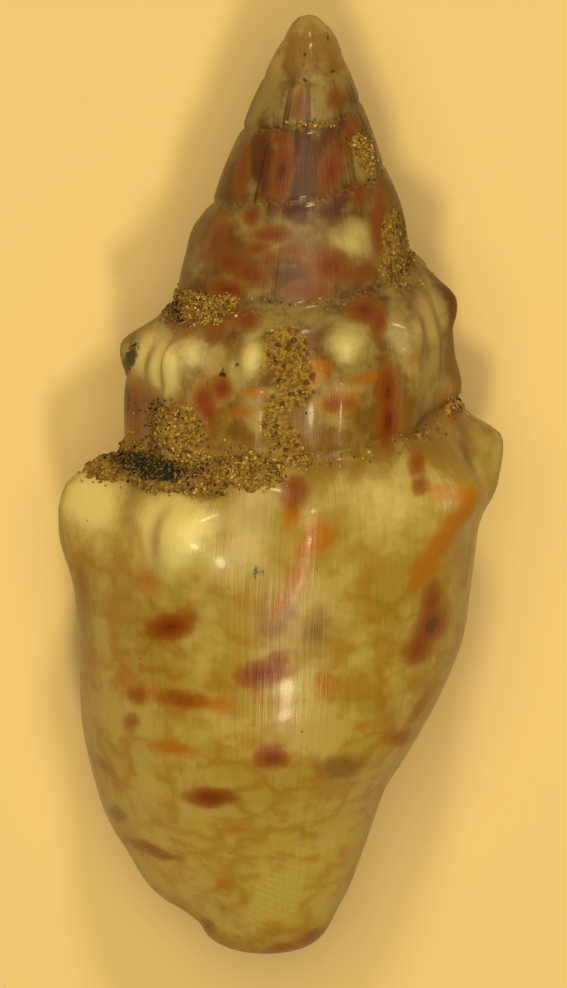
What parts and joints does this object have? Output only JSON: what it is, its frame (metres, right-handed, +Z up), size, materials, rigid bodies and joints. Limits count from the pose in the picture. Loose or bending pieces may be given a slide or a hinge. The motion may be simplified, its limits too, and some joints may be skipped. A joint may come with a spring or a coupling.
{
  "type": "sea snail shell",
  "caption": "Small hollow spiral shell of a crown dove snail: tall pointed spire, knobbed shoulder, long narrow aperture and a short open canal, lying on its aperture.",
  "frame": {"origin": "on the surface that the shell lies on, under the middle of its box", "axes": "+Z up, away from the aperture; +Y along the shell towards the tip of its spire; +X towards the columella side, right in the back view with the spire up"},
  "size_m": [0.0064, 0.014, 0.0054],
  "materials": {
    "shell": "worn satin shell, cream with brown and orange blotches, patches of fine sediment in the grooves"
  },
  "bodies": {
    "root": {"shell": "shell"}
  },
  "joints": []
}
